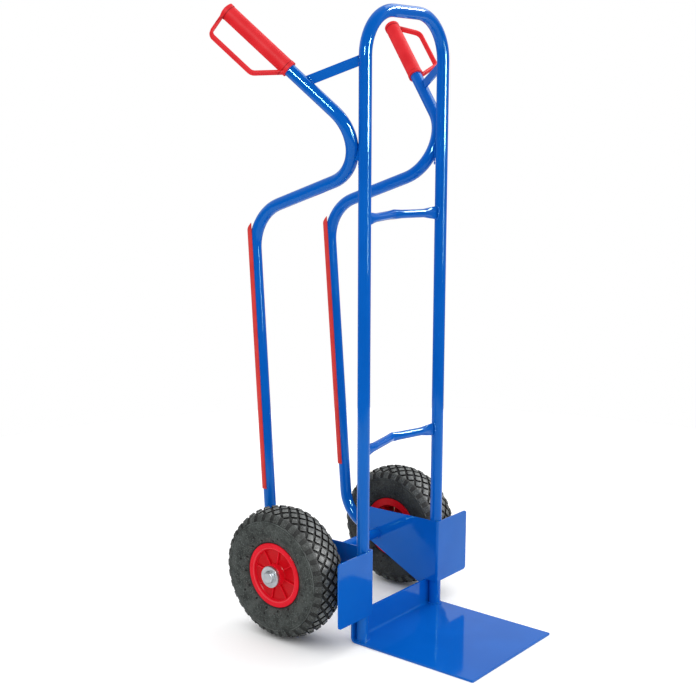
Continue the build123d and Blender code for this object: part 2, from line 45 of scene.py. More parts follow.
# Camera: where it looks, how far off it stands, how it is turned, and its lens in millimetres
LOOK_AT = Vector((-0.168955, 0.0, 0.587294))
STAND_OFF = 2.25526
HEADING = math.radians(51.075)
LOOK_DOWN = math.radians(10.418)
ROLL = math.radians(0.141)
LENS = 63.79
SENSOR = 36

# Room: its light, and the backdrop that gloss shows, with the heights and ways at which it fades
ROOM_LIGHT = 0.92
DARK_SIDE = 0.06
BACKDROP_WAY = (0.778, 0.628, 0.0)
BACKDROP_FADE = (-0.3, 0.4)
CEILING_LOSS = 0.40
CEILING_FADE = (0.25, 0.5)
HORIZON_LOSS = 0.85
HORIZON_FADE = (0.06, 0.22)

# Pale floor: its size, paint and glow, and the soft shadow round the truck, deepened by a painted shadow where the
# glow dims near the truck
FLOOR_RADIUS = 1.9
FLOOR_SIDES = 96
FLOOR_PAINT = (0.86, 0.86, 0.86)
FLOOR_GLOW = 0.34
SHADOW_REACH = 0.22
SHADOW_FADE = (0.1, 0.75)
SEEN_RAYS = ("Is Camera Ray", "Is Glossy Ray", "Is Transmission Ray")

# Lamps: name, place, width, height and power; the gloss lamps are seen in reflections only
ROOF_LAMP = ("roof_softbox", (1.5, -0.1, 2.6), 1.4, 1.4, 16)
ROOF_AIM = (0, 0.1, 0.2)
GLOSS_LAMPS = [
    ("upright_softbox", (0.2, -1.92, 1.30), 0.70, 0.80, 165),
    ("upright_strip", (0.2, -1.92, 0.70), 0.25, 0.40, 9),
    ("handle_softbox", (-2.20, -0.86, 1.66), 0.45, 0.48, 68),
    ("hoop_softbox", (1.55, -0.95, 2.25), 0.80, 0.40, 95),
]
GLOSS_AIM = (0, 0, 1.0)

# Wheel: its place from the frame, and the tyre's section in metres
WHEEL_PLACES = {joint["child"]: joint["pos_m"] for joint in frame["joints"]}
WHEEL_OUT, AXLE_BACK, AXLE_HEIGHT = WHEEL_PLACES["left_wheel"]
TYRE_RADIUS = AXLE_HEIGHT
CROWN_CURVE = 0.05815
CROWN_WALL = 0.011
SHOULDER_ARC = 0.03353
SHOULDER_EASE = math.radians(1.5)
SIDEWALL_CURVE = 0.0416
SIDEWALL_CENTRE = (0.00044, 0.09316)
SIDEWALL_TOP = math.radians(41.27)
SIDEWALL_RIDGE = math.radians(20.9)
SIDEWALL_FOOT = math.radians(-44.5)
RIDGE_HEIGHT = 0.0013
RIDGE_SPREAD = math.radians(2.2)
BEAD_RADIUS = 0.0518
BEAD_OUTSIDE = 0.0301
BEAD_INSIDE = 0.0216
CASING_WALL = 0.0055
LINING_FOOT = math.radians(-50)
LINING_TOP = math.radians(60)

# Tread, in metres
BLOCKS_ROUND = 34
CASING_STEPS = 3 * BLOCKS_ROUND
SIDE_ROWS = 3
ROW_STEP = 0.01091
BLOCK_ACROSS = 0.0153
BLOCK_ALONG = 0.0169
BLOCK_ROOT = 0.0012
BLOCK_EDGE = 0.0009
TREAD_DEPTH = 0.0040
TREAD_INSET = 0.0004
WALL_SLOPE = 0.8
GROOVE_HALF = 0.0312
GROOVE_REACH = 0.0135

# Ring at the tread's edge, its corners by place along it and depth, and the lugs over the shoulder
RING_WIDTH = 0.0036
RING_EDGE = SHOULDER_ARC - RING_WIDTH
RING_CORNERS = ((0.0006, 0.0010), (0.0014, 0.0005), (0.0028, 0.0005))
LUG_WIDTH = 0.0125
LUG_HEIGHT = 0.0014
LUG_FOOT = SIDEWALL_RIDGE + math.radians(2.4)
LUG_CREST = 0.6 * LUG_HEIGHT
LUG_CREST_PLACE = SHOULDER_ARC - 0.0012
LUG_ROOT = 0.003
LUG_EDGE = 0.3 * LUG_HEIGHT

# Rim, in metres; a fillet's corners are given from the edge that it eases
RIM_STEPS = 96
RIM_RADIUS = 0.064
RIM_HALF = 0.0326
RIM_WALL = 0.004
RIM_EASE = 0.001
LIP_THICKNESS = 0.0022
LIP_ROUND = 0.0016
LIP_ROUND_START = math.radians(100)
LIP_DROP = 0.0003
LIP_INSIDE = 0.0536
LIP_FILLET = ((0.0003, 0.0014), (0.0, 0.0002), (-0.0009, -0.0006), (-0.0026, -0.0010))
DISH_RADIUS = 0.0498
DISH_FACE = 0.0246
DISH_BACK = 0.004
DISH_FILLET = ((0.0022, 0.0010), (0.0006, 0.0), (0.0, -0.0018))
SEAT_RADIUS = 0.0515
SEAT_EDGE = 0.0226
WELL_RADIUS = 0.047
WELL_EDGE = 0.0202
HUB_RADIUS = 0.022
HUB_HALF = 0.0375
HUB_BORE = 0.0151
HUB_FILLET = 0.0012
RIBS = 8
RIB_THICKNESS = 0.0018
RIB_EDGE = 0.0005
RIB_ROOT = HUB_RADIUS - 0.001
RIB_SINK = 0.002
RIB_TURN = math.radians(33.9)
FRONT_RIB_TOP = 0.0284
FRONT_RIB_END = DISH_RADIUS + 0.0008
REAR_RIB_TOP = 0.0276
REAR_RIB_END = WELL_RADIUS - 0.0005

# Marks on the wheels: worn rings by radius and wear, vents by radius, number and turn, and their fades; painted
# shade on the inner side, above the ridge, at the bead, in the vent pits and in the rim's dish, and a painted
# highlight on the lip's inner edge
INNER_SIDE_SHADE = (-0.020, -0.004)
MOULD_LINES = 1900.0
WORN_RINGS = ((0.1083, 0.6), (0.1035, 0.2))
WORN_FADE = (0.0003, 0.0011)
SHOULDER_SHADE = (0.1089, 0.1099)
BEAD_SHADE = (RIM_RADIUS + 0.0004, RIM_RADIUS + 0.0045)
VENT_RINGS = ((0.0705, 15, 0.2), (0.0815, 8, 0.9))
VENT_FADE = (0.0016, 0.0029)
DISH_SHADE_FADE = (DISH_FACE + 0.0006, FRONT_RIB_TOP - 0.0012)
LIP_HIGHLIGHT_FADE = (0.0005, 0.0013)

# Depth of the finishes' grain, in metres
PEEL_DEPTH = 0.0004
GRAIN_DEPTH = 0.0003
RUBBER_DEPTH = 0.0004

# Handles and grips, in metres
HANDLE_DIRECTION = Vector((0.3425, 0.6608, 0.6678))
GRIP_START = Vector((0.1942, 0.11596, 1.08579))
GRIP_LENGTH = 0.158
GRIP_COLLAR = 0.0075
COLLAR_FADE = (0.0004, 0.0015)

# Strips on the skid legs, in metres
SKID_FOOT = Vector((0.1215, 0.2346, 0.138049))
SKID_TOP = Vector((0.1155, 0.282945, 0.814101))
STRIP_OUTSIDE = 0.0141
STRIP_INSIDE = 0.0121
STRIP_WRAP = math.radians(107)
STRIP_POINTS = 25
STRIP_BOTTOM = 0.2645
STRIP_TOP = 0.7813
STRIP_MITRE = 1.4
STRIP_CORNER = 0.0035
STRIP_EDGE = 0.0004
STRIP_SHARP = math.radians(50)

# Frame places that the welds follow, in metres
TUBE_RADIUS = 0.012
UPRIGHT_OUT = 0.1215
RUNG_HEIGHTS = {"upper": 0.8185, "lower": 0.380}
RUNG_END_HALF = 0.0034
RUNG_END_HEIGHT = 0.0128
TOE_TOP = 0.0045
CHEEK_TOP = 0.1865
CHEEK_INSIDE = 0.1067
AXLE_RADIUS = 0.010
BRACE_START = Vector((0.1215, 0.0, 1.106))
BRACE_END = Vector((0.182719, 0.093821, 1.063406))
BRACE_WIDTH = 0.018
BRACE_WELD_HALF = 0.38 * BRACE_WIDTH
BRACE_FACE = 0.0026
WEB_MIDDLE = Vector((0.1195, 0.0125, 0.9265))
WEB_HEIGHT = 0.030
WEB_WELD_HALF = WEB_HEIGHT / 2 - 0.002
WEB_FACE = 0.0042

# Welds: size of a drop, how far its middle stands off the metal, drops in a run, and their uneven sizes
WELD_LEG = {
    "foot": 0.0021, "rung": 0.0020, "brace": 0.0011, "web": 0.0015, "axle": 0.0019, "cheek": 0.0014}
WELD_OFF = {
    "foot": 0.0008, "rung": 0.0004, "upright": 0.0006, "handle": 0.0004, "axle": 0.0008, "cheek": 0.0006}
WELD_DROPS = {"foot": 24, "rung": 26, "brace": 9, "web": 12, "axle": 25, "cheek": 11}
FOOT_WELD_WRAP = 2.2
CHEEK_WELD_WRAP = 1.5
CHEEK_WELD_SINK = 0.0004
VOXELS_IN_LEG = 4
BEAD_MELT = 5
RUNG_BEAD_MELT = 2
DROP_WAVES = ((0.16, 2.3, 0), (0.08, 5.1, 1))


# Shader maths
class Wire:
    """An output socket of a node, so that shader maths reads as plain sums."""

    def __init__(self, tree, socket):
        self.tree = tree
        self.socket = socket

    def node(self, kind, settings, inputs, output=0):
        """Adds any node: its settings first, then a value or a wire for each socket given."""
        made = self.tree.nodes.new(kind)
        for name, value in settings.items():
            setattr(made, name, value)
        for name, value in inputs.items():
            plug(self.tree, made.inputs[name], value)
        return Wire(self.tree, made.outputs[output])

    def maths(self, operation, *values):
        return self.node("ShaderNodeMath", {"operation": operation}, dict(enumerate(values)))

    def __abs__(self):
        return self.maths("ABSOLUTE", self)

    def __add__(self, other):
        return self.maths("ADD", self, other)

    def __radd__(self, other):
        return self.maths("ADD", other, self)

    def __sub__(self, other):
        return self.maths("SUBTRACT", self, other)

    def __rsub__(self, other):
        return self.maths("SUBTRACT", other, self)

    def __mul__(self, other):
        return self.maths("MULTIPLY", self, other)

    def __rmul__(self, other):
        return self.maths("MULTIPLY", other, self)

    def __pow__(self, other):
        return self.maths("POWER", self, other)


def plug(tree, socket, value):
    """Links a wire to a socket, or sets the socket's own value."""
    if isinstance(value, Wire):
        tree.links.new(value.socket, socket)
    else:
        socket.default_value = value


def rgb(red, green, blue):
    return (red, green, blue, 1.0)


def brighter(colour, times):
    return rgb(*[times * part for part in colour[:3]])


def noise(where, scale, detail, rough=0.5):
    """Cloudy values about a half, with so many clouds to the metre."""
    inputs = {"Vector": where, "Scale": scale, "Detail": detail, "Roughness": rough}
    return where.node("ShaderNodeTexNoise", {}, inputs)


def above(value, low, high):
    """0 below low and 1 above high, with a soft change."""
    settings = {"interpolation_type": "SMOOTHSTEP"}
    return value.node("ShaderNodeMapRange", settings, {0: value, 1: low, 2: high})


def below(value, low, high):
    """1 below low and 0 above high, with a soft change."""
    return 1 - above(value, low, high)


def mix(share, first, second):
    """A colour from first, at share 0, to second, at share 1."""
    return share.node("ShaderNodeMix", {"data_type": "RGBA"}, {0: share, 6: first, 7: second}, 2)


def bump(height, strength, depth):
    return height.node("ShaderNodeBump", {}, {"Height": height, "Strength": strength, "Distance": depth})


def axes(where):
    """The three coordinates of a place."""
    return [where.node("ShaderNodeSeparateXYZ", {}, {0: where}, axis) for axis in "XYZ"]


def distance(first, second):
    return (first * first + second * second) ** 0.5


def from_wheel(where):
    """A place by how far it lies outward from the wheel's middle, and back from and above the axle."""
    across, back, high = axes(where)
    return abs(across) - WHEEL_OUT, back - AXLE_BACK, high - AXLE_HEIGHT


def new_finish(name):
    """A material with its shader and its object coordinates."""
    finish = bpy.data.materials.new(name)
    finish.use_nodes = True
    tree = finish.node_tree
    shader = tree.nodes["Principled BSDF"]
    return finish, shader, Wire(tree, tree.nodes.new("ShaderNodeTexCoord").outputs["Object"])


def set_shader(where, shader, inputs):
    for name, value in inputs.items():
        plug(where.tree, shader.inputs[name], value)


# Finishes
def gloss_paint(name, dark, light):
    """Stoved blue enamel: even colour, a trace of orange peel and a high gloss."""
    finish, shader, where = new_finish(name)
    cloud = noise(where, scale=9.0, detail=3.0)
    peel = noise(where, scale=260.0, detail=1.0)
    dust = noise(where, scale=1400.0, detail=2.0)
    set_shader(where, shader, {
        "Base Color": mix(above(cloud, 0.35, 0.65), dark, light),
        "Roughness": 0.07 + 0.05 * above(dust, 0.45, 0.75),
        "Normal": bump(peel, strength=0.012, depth=PEEL_DEPTH),
        "Specular IOR Level": 0.32,
        "Specular Tint": rgb(0.45, 1.0, 0.9),
    })
    return finish


def mould_grain(where, dark, light, rough, grain):
    """Plastic as a mould leaves it: clouded colour, uneven roughness, and the height of its fine pits."""
    cloud = noise(where, scale=30.0, detail=3.0)
    pits = noise(where, scale=grain, detail=3.0, rough=0.6)
    colour = mix(above(cloud, 0.3, 0.7), dark, light)
    return colour, rough + 0.12 * above(pits, 0.4, 0.7), pits


def moulded_plastic(name, dark, light, rough, grain, texture):
    """Coloured plastic with a fine spark-eroded grain and a faint sheen."""
    finish, shader, where = new_finish(name)
    colour, roughness, pits = mould_grain(where, dark, light, rough, grain)
    set_shader(where, shader, {
        "Base Color": colour,
        "Roughness": roughness,
        "Normal": bump(pits, strength=texture, depth=GRAIN_DEPTH),
        "Specular IOR Level": 0.12,
    })
    return finish


def grip_plastic(name, collar_shade_colour, dark, light):
    """Red plastic of the grips: a fine grain, and painted shade in the step behind each collar."""
    finish, shader, where = new_finish(name)
    across, back, high = axes(where)
    sideways, rearward, upward = HANDLE_DIRECTION
    along = abs(across) * sideways + back * rearward + high * upward
    along = along - GRIP_START.dot(HANDLE_DIRECTION)
    colour, roughness, pits = mould_grain(where, dark, light, rough=0.46, grain=900.0)
    steps = (GRIP_COLLAR, GRIP_LENGTH - GRIP_COLLAR)
    # Painted shade: a dark line in the step behind each collar, with a dip in the bump
    collar_shade = sum(below(abs(along - step), *COLLAR_FADE) for step in steps)
    set_shader(where, shader, {
        "Base Color": mix(0.6 * collar_shade, colour, collar_shade_colour),
        "Roughness": roughness,
        "Normal": bump(pits - 0.5 * collar_shade, strength=0.03, depth=GRAIN_DEPTH),
        "Specular IOR Level": 0.08,
    })
    return finish


def rim_plastic(name, dish_shade, dark, light, edge):
    """Red plastic of the rim: darker red in the dish as painted shade, and a paler line along the lip's inner edge
    as a painted highlight.
    """
    finish, shader, where = new_finish(name)
    outward, back, high = from_wheel(where)
    colour, roughness, pits = mould_grain(where, dark, light, rough=0.24, grain=1100.0)
    raised = above(outward, *DISH_SHADE_FADE)
    lip_highlight = below(abs(distance(back, high) - LIP_INSIDE), *LIP_HIGHLIGHT_FADE)
    set_shader(where, shader, {
        # Painted shade: a darker red in the dish below the ribs' tops and the lip; painted highlight: a paler line
        # along the lip's inner edge
        "Base Color": mix(0.7 * lip_highlight * raised, mix(raised, dish_shade, colour), edge),
        "Roughness": roughness,
        "Normal": bump(pits, strength=0.05, depth=GRAIN_DEPTH),
        "Specular IOR Level": 0.1,
    })
    return finish


def dusty(where, dark, light):
    """Rubber colour with blotches of bloom and a few pale specks, and the specks' height."""
    bloom = noise(where, scale=45.0, detail=8.0, rough=0.75)
    specks = noise(where, scale=420.0, detail=3.0, rough=0.6)
    colour = mix(above(bloom + 0.35 * specks, 0.52, 0.82), dark, light)
    return mix(0.9 * above(specks, 0.59, 0.66), colour, brighter(light, 1.9)), specks


def set_rubber(where, shader, colour, specks, height, rough, gloss):
    """A rubber shader, a little smoother on its specks."""
    set_shader(where, shader, {
        "Base Color": colour,
        "Roughness": rough - 0.15 * above(specks, 0.5, 0.7),
        "Normal": bump(height, strength=0.3, depth=RUBBER_DEPTH),
        "Specular IOR Level": gloss,
    })


def tyre_rubber(name, dark, light, rough, gloss):
    """Black rubber with a bloom of dust and a fine mould grain."""
    finish, shader, where = new_finish(name)
    colour, specks = dusty(where, dark, light)
    set_rubber(where, shader, colour, specks, specks, rough, gloss)
    return finish


def sidewall_rubber(name, dark, light, painted_shade):
    """Rubber of the sidewall: dusty bloom, worn rings, and painted shade at the bead, between the shoulder lugs,
    on the inner side and in the small vent pits.
    """
    finish, shader, where = new_finish(name)
    outward, back, high = from_wheel(where)
    out = distance(back, high)
    turn = where.maths("ARCTAN2", back, high)
    # Vent pits: painted shade in each pit, and a dip in the bump
    vents = 0.0
    for radius, count, shift in VENT_RINGS:
        along = where.maths("SINE", turn * (count / 2) + shift) * (2 / count) * radius
        vents = vents + below(distance(along, out - radius), *VENT_FADE)
    worn = sum(wear * below(abs(out - radius), *WORN_FADE) for radius, wear in WORN_RINGS)
    worn = worn * above(noise(where, scale=22.0, detail=4.0), 0.38, 0.6)
    colour, specks = dusty(where, dark, light)
    # Painted shade on the casing above the ridge, in the gaps between the shoulder lugs
    colour = mix(0.65 * above(out, *SHOULDER_SHADE), colour, painted_shade)
    colour = mix(worn, colour, brighter(light, 2.2))
    # Painted shade on the inner sidewall, which faces the frame
    colour = mix(0.5 * below(outward, *INNER_SIDE_SHADE), colour, painted_shade)
    # Painted shade in the vent pits, and next to the rim's lip at the bead
    colour = mix(where.maths("MAXIMUM", vents, 0.85 * below(out, *BEAD_SHADE)), colour, painted_shade)
    height = specks + 0.12 * where.maths("SINE", out * MOULD_LINES) - 2.0 * vents
    set_rubber(where, shader, colour, specks, height, rough=0.74, gloss=0.3)
    return finish


def bright_metal(name, tone, rough):
    """Bright plated or bare metal: small crystals and a slightly cloudy gloss."""
    finish, shader, where = new_finish(name)
    crystals = where.node("ShaderNodeTexVoronoi", {}, {"Vector": where, "Scale": 260.0}, "Color")
    grey = where.node("ShaderNodeRGBToBW", {}, {0: crystals})
    cloud = noise(where, scale=140.0, detail=4.0)
    pale = rgb(*[0.4 + 0.6 * part for part in tone[:3]])
    set_shader(where, shader, {
        "Base Color": mix(0.35 * grey + 0.3 * cloud, tone, pale),
        "Roughness": rough + 0.14 * above(cloud, 0.35, 0.7),
        "Normal": bump(cloud, strength=0.08, depth=GRAIN_DEPTH),
        "Metallic": 1.0,
    })
    return finish


BLUE = gloss_paint("blue_gloss_paint", rgb(0.0015, 0.119, 0.560), rgb(0.0025, 0.131, 0.600))
# The grips' darkest colour is painted shade in the collar steps
GRIP_RED = grip_plastic(
    "red_grip_plastic", collar_shade_colour=rgb(0.26, 0.003, 0.006),
    dark=rgb(0.81, 0.019, 0.027), light=rgb(0.87, 0.027, 0.036))
STRIP_RED = moulded_plastic(
    "red_strip_plastic", rgb(0.70, 0.040, 0.036), rgb(0.77, 0.050, 0.046),
    rough=0.42, grain=700.0, texture=0.06)
# The rim's darker dish red is painted shade, and its edge colour a painted highlight along the lip's inner edge
RIM_RED = rim_plastic(
    "red_rim_plastic", dish_shade=rgb(0.66, 0.005, 0.012),
    dark=rgb(0.84, 0.008, 0.022), light=rgb(0.92, 0.012, 0.032), edge=rgb(0.98, 0.10, 0.12))
CASING = sidewall_rubber(
    "tyre_sidewall_rubber", rgb(0.021, 0.026, 0.024), rgb(0.072, 0.083, 0.078),
    painted_shade=rgb(0.003, 0.003, 0.003))
# Near-black copy of the rubber for groove floors and block walls: painted shade
GROOVE_SHADE = tyre_rubber(
    "tyre_groove_painted_shade", rgb(0.003, 0.003, 0.003), rgb(0.008, 0.009, 0.009), rough=0.9, gloss=0.1)
LUG = tyre_rubber(
    "tyre_shoulder_rubber", rgb(0.028, 0.032, 0.030), rgb(0.080, 0.089, 0.085), rough=0.7, gloss=0.3)
# Paler rubber for the block tops: partly wear, partly painted light
TREAD = tyre_rubber(
    "tyre_tread_rubber", rgb(0.036, 0.040, 0.038), rgb(0.175, 0.188, 0.180), rough=0.58, gloss=0.40)
TUBE_RUBBER = tyre_rubber(
    "inner_tube_rubber", rgb(0.012, 0.012, 0.012), rgb(0.02, 0.02, 0.02), rough=0.6, gloss=0.4)
ZINC = bright_metal("bright_zinc_plate", rgb(0.40, 0.43, 0.46), rough=0.42)
STEEL = bright_metal("greased_bearing_steel", rgb(0.34, 0.34, 0.34), rough=0.3)
BRASS = bright_metal("valve_brass", rgb(0.55, 0.38, 0.13), rough=0.28)
CAP_BLACK = moulded_plastic(
    "valve_cap_plastic", rgb(0.014, 0.014, 0.014), rgb(0.02, 0.02, 0.02),
    rough=0.4, grain=900.0, texture=0.1)

SLOT_FINISH = {
    "blue_paint": BLUE,
    "red_grip_plastic": GRIP_RED,
    "red_strip_plastic": STRIP_RED,
    "red_rim_plastic": RIM_RED,
    "tyre": CASING,
    "inner_tube_rubber": TUBE_RUBBER,
    "zinc": ZINC,
    "bearing_steel": STEEL,
    "brass": BRASS,
    "black_plastic": CAP_BLACK,
}
for row in frame["record"]["subparts"]:
    node_mesh = frame["nodes"][row["node"]].data
    node_mesh.materials.clear()
    node_mesh.materials.append(SLOT_FINISH[row["material_slot"]])


# Modelling by hand
def start_clean():
    """Nothing selected, in object mode, before a new piece is begun."""
    if bpy.context.mode != "OBJECT":
        bpy.ops.object.mode_set(mode="OBJECT")
    bpy.ops.object.select_all(action="DESELECT")


def take(*pieces):
    """These pieces selected, the first of them active."""
    start_clean()
    for piece in pieces:
        piece.select_set(True)
    bpy.context.view_layer.objects.active = pieces[0]


def edit_all(piece):
    """Edit mode with the whole piece selected."""
    take(piece)
    bpy.ops.object.mode_set(mode="EDIT")
    bpy.ops.mesh.select_all(action="SELECT")


def apply_modifier(piece, kind, **settings):
    take(piece)
    change = piece.modifiers.new(kind.lower(), kind)
    for name, value in settings.items():
        setattr(change, name, value)
    bpy.ops.object.modifier_apply(modifier=change.name)


def dress(piece, *finishes):
    for finish in finishes:
        piece.data.materials.append(finish)


def join(name, pieces):
    take(*pieces)
    if len(pieces) > 1:
        bpy.ops.object.join()
    joined = bpy.context.object
    joined.name = name
    return joined


def settle(piece, body, smooth_below):
    """Puts a piece's place in its mesh, smooths edges below an angle and lets it ride on a body."""
    take(piece)
    bpy.ops.object.transform_apply(location=True, rotation=True, scale=True)
    bpy.ops.object.shade_smooth_by_angle(angle=math.radians(smooth_below))
    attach(piece, body)


def draw_section(name, points):
    """Edges drawn from point to point; the piece is left in edit mode."""
    start_clean()
    bpy.ops.mesh.primitive_plane_add(size=0.001, location=points[0])
    piece = bpy.context.object
    piece.name = name
    bpy.ops.object.mode_set(mode="EDIT")
    bpy.ops.mesh.merge(type="CENTER")
    for here, there in zip(points, points[1:]):
        bpy.ops.mesh.extrude_vertices_move(TRANSFORM_OT_translate={"value": there - here})
    return piece


def pull_out_section(move):
    """Fills the section just drawn and pulls it out to a solid."""
    bpy.ops.mesh.select_all(action="SELECT")
    bpy.ops.mesh.edge_face_add()
    bpy.ops.mesh.extrude_region_move(TRANSFORM_OT_translate={"value": move})
    bpy.ops.mesh.select_all(action="SELECT")
    bpy.ops.mesh.normals_make_consistent(inside=False)
    bpy.ops.object.mode_set(mode="OBJECT")


def turn_section(piece, centre, steps):
    """Spins a section right round the axle and closes the seam."""
    edit_all(piece)
    bpy.ops.mesh.spin(steps=steps, angle=2 * math.pi, center=centre, axis=(1, 0, 0))
    bpy.ops.mesh.select_all(action="SELECT")
    bpy.ops.mesh.remove_doubles(threshold=0.00001)
    bpy.ops.mesh.normals_make_consistent(inside=False)
    bpy.ops.object.mode_set(mode="OBJECT")


def turn_piece(piece, angle, centre):
    edit_all(piece)
    bpy.ops.transform.rotate(value=angle, orient_axis="X", center_override=centre)
    bpy.ops.object.mode_set(mode="OBJECT")


def copy_round(piece, centre, count):
    """Copies a piece round the axle at even steps."""
    edit_all(piece)
    last = 2 * math.pi * (count - 1) / count
    bpy.ops.mesh.spin(steps=count - 1, dupli=True, angle=last, center=centre, axis=(1, 0, 0))
    bpy.ops.object.mode_set(mode="OBJECT")


def cut_away(piece, place, side):
    """Cuts off what lies on one side of a plane and closes the cut."""
    edit_all(piece)
    bpy.ops.mesh.bisect(plane_co=place, plane_no=side, clear_outer=True, use_fill=True)
    bpy.ops.object.mode_set(mode="OBJECT")


def spread(first, last, count):
    """Even steps from one number to another."""
    return [first + (last - first) * index / (count - 1) for index in range(count)]


def arc(centre, radius, first, last, count):
    """Points (across, out from the axle) on an arc; angles run from across towards out."""
    angles = spread(first, last, count)
    return [(centre[0] + radius * math.cos(a), centre[1] + radius * math.sin(a)) for a in angles]


def ring_points(centre, first, second, start, end, count):
    """Points on an arc that two directions span."""
    angles = spread(start, end, count)
    return [centre + first * math.cos(angle) + second * math.sin(angle) for angle in angles]


def line_points(first, last, count):
    return [first.lerp(last, index / (count - 1)) for index in range(count)]


def mirrored(points, side):
    """Points given for the left side, on the side asked for."""
    return [Vector((SIDES[side] * point[0], point[1], point[2])) for point in points]


def axle_point(side):
    return Vector(WHEEL_PLACES[f"{side}_wheel"])


def on_wheel(centre, outline, way=1):
    """Points of a wheel's section, above its centre; way is -1 where across is turned round."""
    return [centre + Vector((way * across, 0, out)) for across, out in outline]


# Tyres
def crown_point(along, depth):
    """Point (across, out) by its distance along the crown and its depth below it."""
    angle = along / CROWN_CURVE
    reach = CROWN_CURVE - depth
    return (reach * math.sin(angle), TYRE_RADIUS - CROWN_CURVE + reach * math.cos(angle))


def casing_outline():
    """Half of the tyre's section, from the crown's middle down to the bead and back up inside."""
    groove_floor = [crown_point(along, TREAD_DEPTH) for along in spread(0, RING_EDGE, count=8)]
    ring = [crown_point(RING_EDGE + along, depth) for along, depth in RING_CORNERS]
    top = arc(SIDEWALL_CENTRE, SIDEWALL_CURVE,
              SIDEWALL_TOP - SHOULDER_EASE, SIDEWALL_RIDGE + RIDGE_SPREAD, count=7)
    ridge = arc(SIDEWALL_CENTRE, SIDEWALL_CURVE + RIDGE_HEIGHT,
                SIDEWALL_RIDGE + RIDGE_SPREAD / 3, SIDEWALL_RIDGE - RIDGE_SPREAD / 3, count=3)
    sidewall = arc(SIDEWALL_CENTRE, SIDEWALL_CURVE,
                   SIDEWALL_RIDGE - RIDGE_SPREAD, SIDEWALL_FOOT, count=16)
    bead = [(BEAD_OUTSIDE, BEAD_RADIUS), (BEAD_INSIDE, BEAD_RADIUS)]
    lining = arc(SIDEWALL_CENTRE, SIDEWALL_CURVE - CASING_WALL, LINING_FOOT, LINING_TOP, count=9)
    lining += [(0.0, TYRE_RADIUS - CROWN_WALL)]
    return groove_floor + ring + top + ridge + sidewall + bead + lining


def make_casing(side):
    """The tyre's carcass, spun from its section, with near-black rubber where the grooves run, as painted shade.
    """
    centre = axle_point(side)
    half = casing_outline()
    outline = half + [(-across, out) for across, out in reversed(half[1:-1])] + half[:1]
    casing = draw_section(f"{side}_casing", on_wheel(centre, outline))
    turn_section(casing, centre, CASING_STEPS)
    dress(casing, CASING, GROOVE_SHADE)
    for face in casing.data.polygons:
        off = face.center - centre
        under_tread = abs(off.x) < GROOVE_HALF and math.hypot(off.y, off.z) > TYRE_RADIUS - GROOVE_REACH
        face.material_index = 1 if under_tread and face.normal.dot(off) > 0 else 0
    return casing


def make_block(centre, row):
    """One tread block: a diamond standing on the casing, its edges eased, its top in paler rubber, partly wear and
    partly painted light, and its walls in near-black rubber as painted shade.
    """
    start_clean()
    height = TREAD_DEPTH + BLOCK_ROOT
    lean = row * ROW_STEP / CROWN_CURVE
    place = on_wheel(centre, [crown_point(row * ROW_STEP, TREAD_INSET + height / 2)])[0]
    bpy.ops.mesh.primitive_cylinder_add(
        vertices=4, radius=0.5, depth=1, location=place, rotation=(0, lean, 0),
        scale=(BLOCK_ACROSS, BLOCK_ALONG, height))
    block = bpy.context.object
    bpy.ops.object.transform_apply(location=True, rotation=True, scale=True)
    if abs(row) == SIDE_ROWS:
        outward = Vector((math.cos(lean), 0, -math.sin(lean))) * math.copysign(1, row)
        cut_away(block, place, outward)
    apply_modifier(block, "BEVEL", width=BLOCK_EDGE, segments=2)
    dress(block, TREAD, GROOVE_SHADE)
    upward = Vector((math.sin(lean), 0, math.cos(lean)))
    for face in block.data.polygons:
        face.material_index = 0 if face.normal.dot(upward) > WALL_SLOPE else 1
    return block


def make_lug(centre, way):
    """A bar that runs from the ridge on the sidewall up over the shoulder."""
    outside = arc(SIDEWALL_CENTRE, SIDEWALL_CURVE + LUG_HEIGHT, LUG_FOOT, SIDEWALL_TOP, count=6)
    over = [crown_point(LUG_CREST_PLACE, -LUG_CREST), crown_point(RING_EDGE, TREAD_INSET)]
    under = [crown_point(RING_EDGE, TREAD_DEPTH), crown_point(SHOULDER_ARC, LUG_ROOT)]
    inside = arc(SIDEWALL_CENTRE, SIDEWALL_CURVE - LUG_HEIGHT, SIDEWALL_TOP, LUG_FOOT, count=4)
    corner = centre + Vector((0, -LUG_WIDTH / 2, 0))
    lug = draw_section("lug", on_wheel(corner, outside + over + under + inside, way))
    pull_out_section((0, LUG_WIDTH, 0))
    apply_modifier(lug, "BEVEL", width=LUG_EDGE, segments=1)
    dress(lug, LUG)
    return lug


def make_tread(side):
    """One pitch of blocks and shoulder lugs, copied right round the wheel."""
    centre = axle_point(side)
    half_pitch = math.pi / BLOCKS_ROUND
    pitch = []
    for row in range(-SIDE_ROWS, SIDE_ROWS + 1):
        block = make_block(centre, row)
        if row % 2:
            turn_piece(block, half_pitch, centre)
        pitch.append(block)
    for way in (-1, 1):
        lug = make_lug(centre, way)
        turn_piece(lug, half_pitch, centre)
        pitch.append(lug)
    tread = join(f"{side}_tread", pitch)
    copy_round(tread, centre, BLOCKS_ROUND)
    return tread


def make_tyre(side):
    air_tyre = join(f"{side}_block_tread_tyre", [make_casing(side), make_tread(side)])
    settle(air_tyre, f"{side}_wheel", smooth_below=35)
    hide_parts(f"{side}_tyre")


